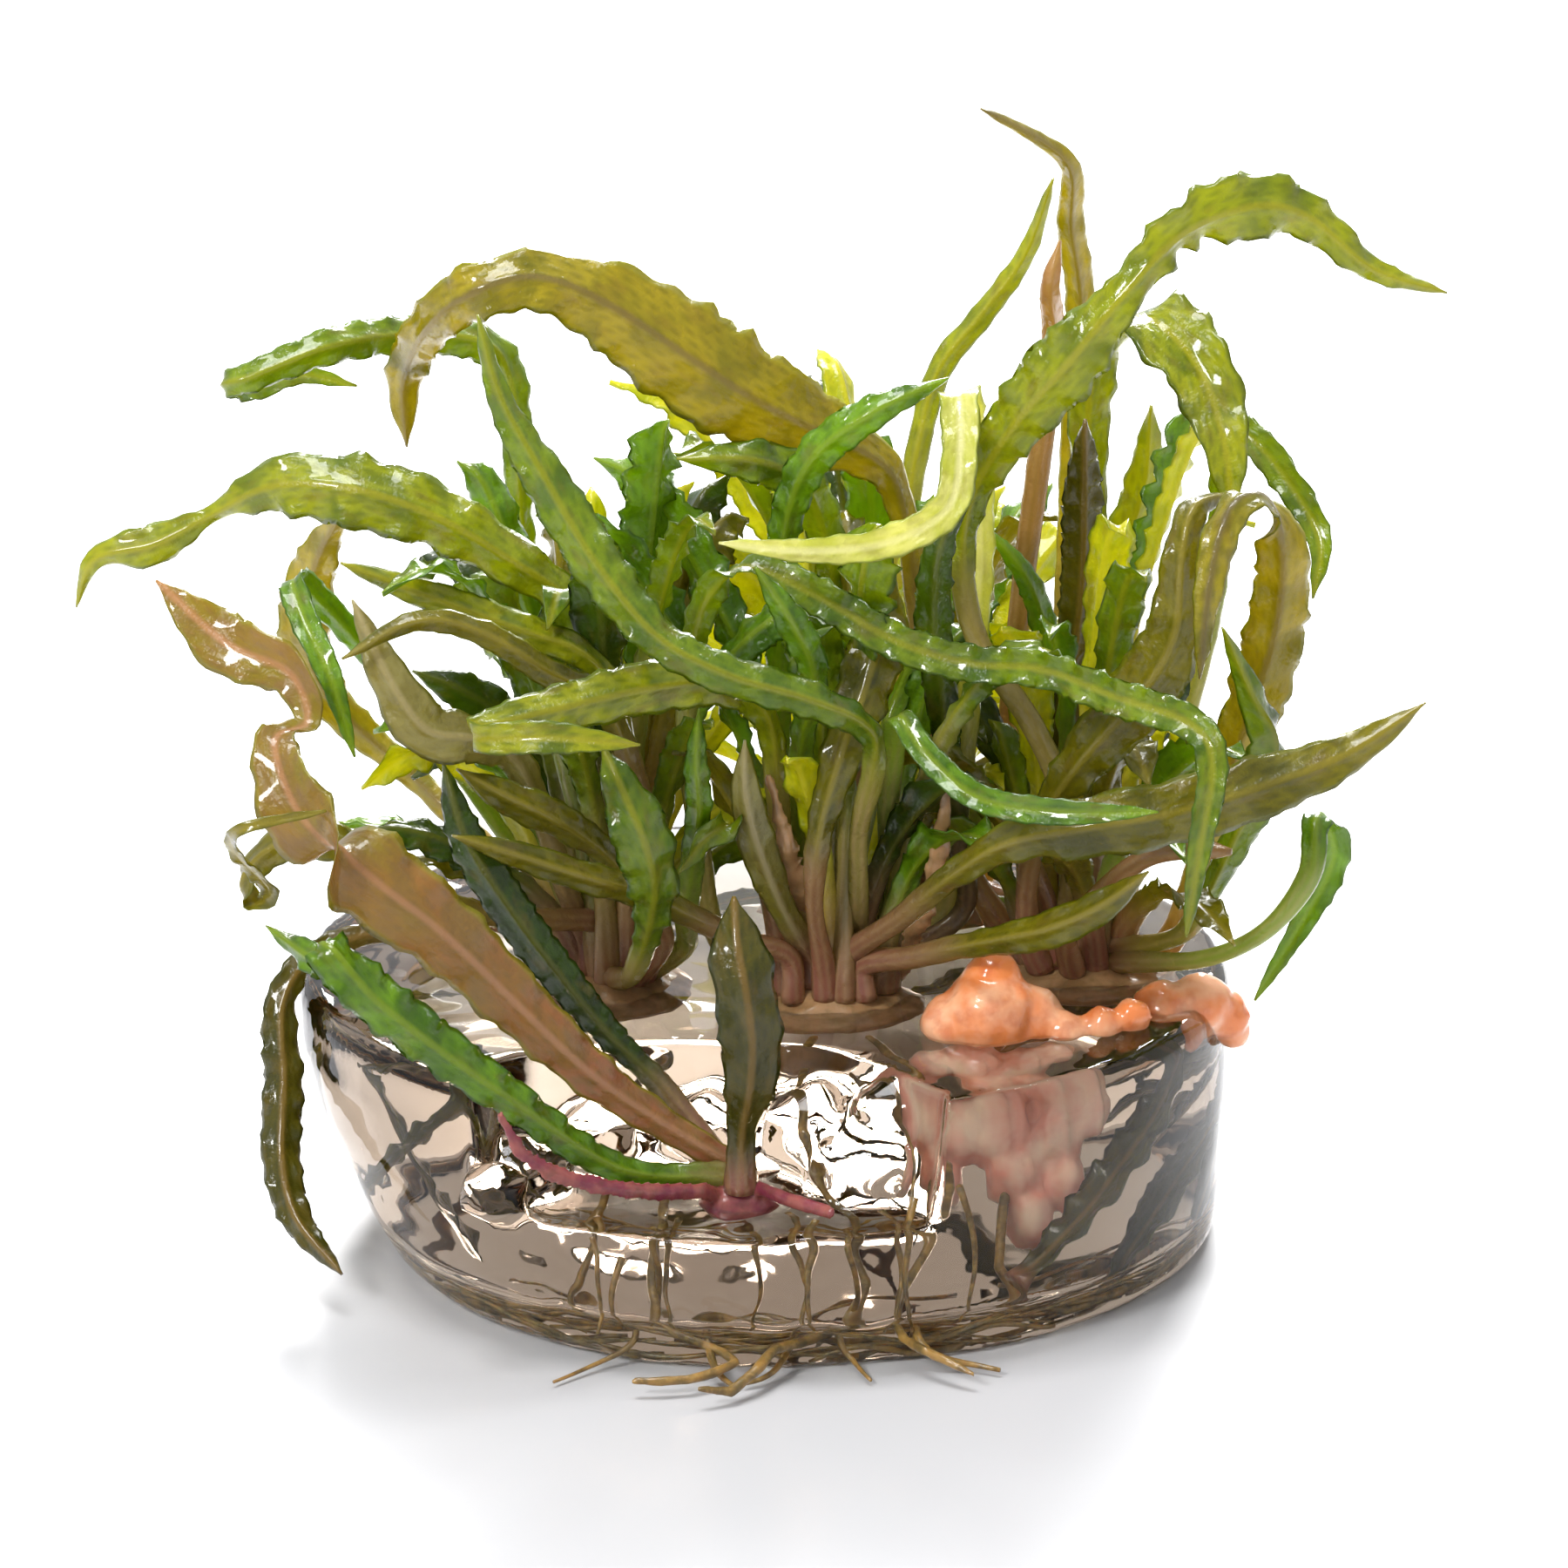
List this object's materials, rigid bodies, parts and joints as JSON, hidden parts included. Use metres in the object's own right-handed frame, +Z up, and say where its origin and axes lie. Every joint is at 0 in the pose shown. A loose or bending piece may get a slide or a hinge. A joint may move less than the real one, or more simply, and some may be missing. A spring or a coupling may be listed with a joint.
{
  "type": "cryptocoryne plant clump in gel",
  "caption": "Clump of small ribbon-leaved water plants growing out of a round puck of clear gel with roots in it.",
  "frame": {"origin": "centre of the gel puck's flat bottom", "axes": "+Z up, -Y towards the torn front that the picture shows"},
  "size_m": [0.0888, 0.0663, 0.0755],
  "materials": {
    "gel_puck": "clear wet nutrient gel, smooth, torn at the front",
    "crown_middle": "moist plant tissue, matt with a wet sheen",
    "crown_right": "moist plant tissue, matt with a wet sheen",
    "crown_left": "moist plant tissue, matt with a wet sheen",
    "crown_back": "moist plant tissue, matt with a wet sheen",
    "crown_front": "moist plant tissue, matt with a wet sheen",
    "callus_middle": "soft lumpy callus tissue, wet sheen",
    "callus_right": "soft lumpy callus tissue, wet sheen",
    "leaf_gold_arch": "wet glossy leaf, finely crisped edge, light shows through it",
    "leaf_green_upper_left": "wet glossy leaf, finely crisped edge, light shows through it",
    "leaf_left_reach": "wet glossy leaf, finely crisped edge, light shows through it",
    "leaf_front_pink": "wet glossy leaf, finely crisped edge, light shows through it",
    "leaf_front_lobed": "wet glossy leaf, finely crisped edge, light shows through it",
    "leaf_front_upright": "wet glossy leaf, finely crisped edge, light shows through it",
    "leaf_dark_crisped": "wet glossy leaf, finely crisped edge, light shows through it",
    "leaf_curl_left": "wet glossy leaf, finely crisped edge, light shows through it",
    "leaf_olive_low_left": "wet glossy leaf, finely crisped edge, light shows through it",
    "leaf_upright_left": "wet glossy leaf, finely crisped edge, light shows through it",
    "leaf_pale_fold": "wet glossy leaf, finely crisped edge, light shows through it",
    "leaf_long_diagonal": "wet glossy leaf, finely crisped edge, light shows through it",
    "leaf_horizontal_right": "wet glossy leaf, finely crisped edge, light shows through it",
    "leaf_ruffled_drop": "wet glossy leaf, finely crisped edge, light shows through it",
    "leaf_upper_right": "wet glossy leaf, finely crisped edge, light shows through it",
    "leaf_broad_right": "wet glossy leaf, finely crisped edge, light shows through it",
    "leaf_outer_right": "wet glossy leaf, finely crisped edge, light shows through it",
    "leaf_arch_right": "wet glossy leaf, finely crisped edge, light shows through it",
    "leaf_olive_right": "wet glossy leaf, finely crisped edge, light shows through it",
    "leaf_keeled_right": "wet glossy leaf, finely crisped edge, light shows through it",
    "leaf_hanging_right": "wet glossy leaf, finely crisped edge, light shows through it",
    "leaf_low_right": "wet glossy leaf, finely crisped edge, light shows through it",
    "stem_cut_right": "wet glossy leaf, finely crisped edge, light shows through it",
    "leaf_green_glossy": "wet glossy leaf, finely crisped edge, light shows through it",
    "leaf_dark_toothed": "wet glossy leaf, finely crisped edge, light shows through it",
    "leaf_yellow_back_right": "wet glossy leaf, finely crisped edge, light shows through it",
    "leaf_spike_top": "wet glossy leaf, finely crisped edge, light shows through it",
    "leaf_diagonal_back": "wet glossy leaf, finely crisped edge, light shows through it",
    "leaf_dead_tip": "wet glossy leaf, finely crisped edge, light shows through it",
    "leaf_upper_middle": "wet glossy leaf, finely crisped edge, light shows through it",
    "leaf_cross_middle": "wet glossy leaf, finely crisped edge, light shows through it",
    "leaf_pale_top": "wet glossy leaf, finely crisped edge, light shows through it",
    "leaf_yellow_left": "wet glossy leaf, finely crisped edge, light shows through it",
    "leaf_arc_left": "wet glossy leaf, finely crisped edge, light shows through it",
    "leaf_grey_left": "wet glossy leaf, finely crisped edge, light shows through it",
    "leaf_green_tip_left": "wet glossy leaf, finely crisped edge, light shows through it",
    "leaf_gold_back_left": "wet glossy leaf, finely crisped edge, light shows through it",
    "leaf_dark_left": "wet glossy leaf, finely crisped edge, light shows through it",
    "leaf_olive_band": "wet glossy leaf, finely crisped edge, light shows through it",
    "leaf_tan_upright": "wet glossy leaf, finely crisped edge, light shows through it",
    "leaf_olive_middle": "wet glossy leaf, finely crisped edge, light shows through it",
    "leaf_green_middle": "wet glossy leaf, finely crisped edge, light shows through it",
    "leaf_green_bumpy": "wet glossy leaf, finely crisped edge, light shows through it",
    "leaf_green_inner_right": "wet glossy leaf, finely crisped edge, light shows through it",
    "leaf_curve_right": "wet glossy leaf, finely crisped edge, light shows through it",
    "leaf_wilted_left": "wet glossy leaf, finely crisped edge, light shows through it",
    "root_front_hook": "smooth moist root",
    "root_front_right": "smooth moist root",
    "root_deep_right": "smooth moist root",
    "root_left": "smooth moist root",
    "root_left_short": "smooth moist root",
    "root_back": "smooth moist root"
  },
  "bodies": {
    "root": {"gel_puck": "gel_puck", "crown_middle": "crown_middle", "crown_right": "crown_right", "crown_left": "crown_left", "crown_back": "crown_back", "crown_front": "crown_front", "callus_middle": "callus_middle", "callus_right": "callus_right", "leaf_gold_arch": "leaf_gold_arch", "leaf_green_upper_left": "leaf_green_upper_left", "leaf_left_reach": "leaf_left_reach", "leaf_front_pink": "leaf_front_pink", "leaf_front_lobed": "leaf_front_lobed", "leaf_front_upright": "leaf_front_upright", "leaf_dark_crisped": "leaf_dark_crisped", "leaf_curl_left": "leaf_curl_left", "leaf_olive_low_left": "leaf_olive_low_left", "leaf_upright_left": "leaf_upright_left", "leaf_pale_fold": "leaf_pale_fold", "leaf_long_diagonal": "leaf_long_diagonal", "leaf_horizontal_right": "leaf_horizontal_right", "leaf_ruffled_drop": "leaf_ruffled_drop", "leaf_upper_right": "leaf_upper_right", "leaf_broad_right": "leaf_broad_right", "leaf_outer_right": "leaf_outer_right", "leaf_arch_right": "leaf_arch_right", "leaf_olive_right": "leaf_olive_right", "leaf_keeled_right": "leaf_keeled_right", "leaf_hanging_right": "leaf_hanging_right", "leaf_low_right": "leaf_low_right", "stem_cut_right": "stem_cut_right", "leaf_green_glossy": "leaf_green_glossy", "leaf_dark_toothed": "leaf_dark_toothed", "leaf_yellow_back_right": "leaf_yellow_back_right", "leaf_spike_top": "leaf_spike_top", "leaf_diagonal_back": "leaf_diagonal_back", "leaf_dead_tip": "leaf_dead_tip", "leaf_upper_middle": "leaf_upper_middle", "leaf_cross_middle": "leaf_cross_middle", "leaf_pale_top": "leaf_pale_top", "leaf_yellow_left": "leaf_yellow_left", "leaf_arc_left": "leaf_arc_left", "leaf_grey_left": "leaf_grey_left", "leaf_green_tip_left": "leaf_green_tip_left", "leaf_gold_back_left": "leaf_gold_back_left", "leaf_dark_left": "leaf_dark_left", "leaf_olive_band": "leaf_olive_band", "leaf_tan_upright": "leaf_tan_upright", "leaf_olive_middle": "leaf_olive_middle", "leaf_green_middle": "leaf_green_middle", "leaf_green_bumpy": "leaf_green_bumpy", "leaf_green_inner_right": "leaf_green_inner_right", "leaf_curve_right": "leaf_curve_right", "leaf_wilted_left": "leaf_wilted_left", "root_front_hook": "root_front_hook", "root_front_right": "root_front_right", "root_deep_right": "root_deep_right", "root_left": "root_left", "root_left_short": "root_left_short", "root_back": "root_back"}
  },
  "joints": []
}
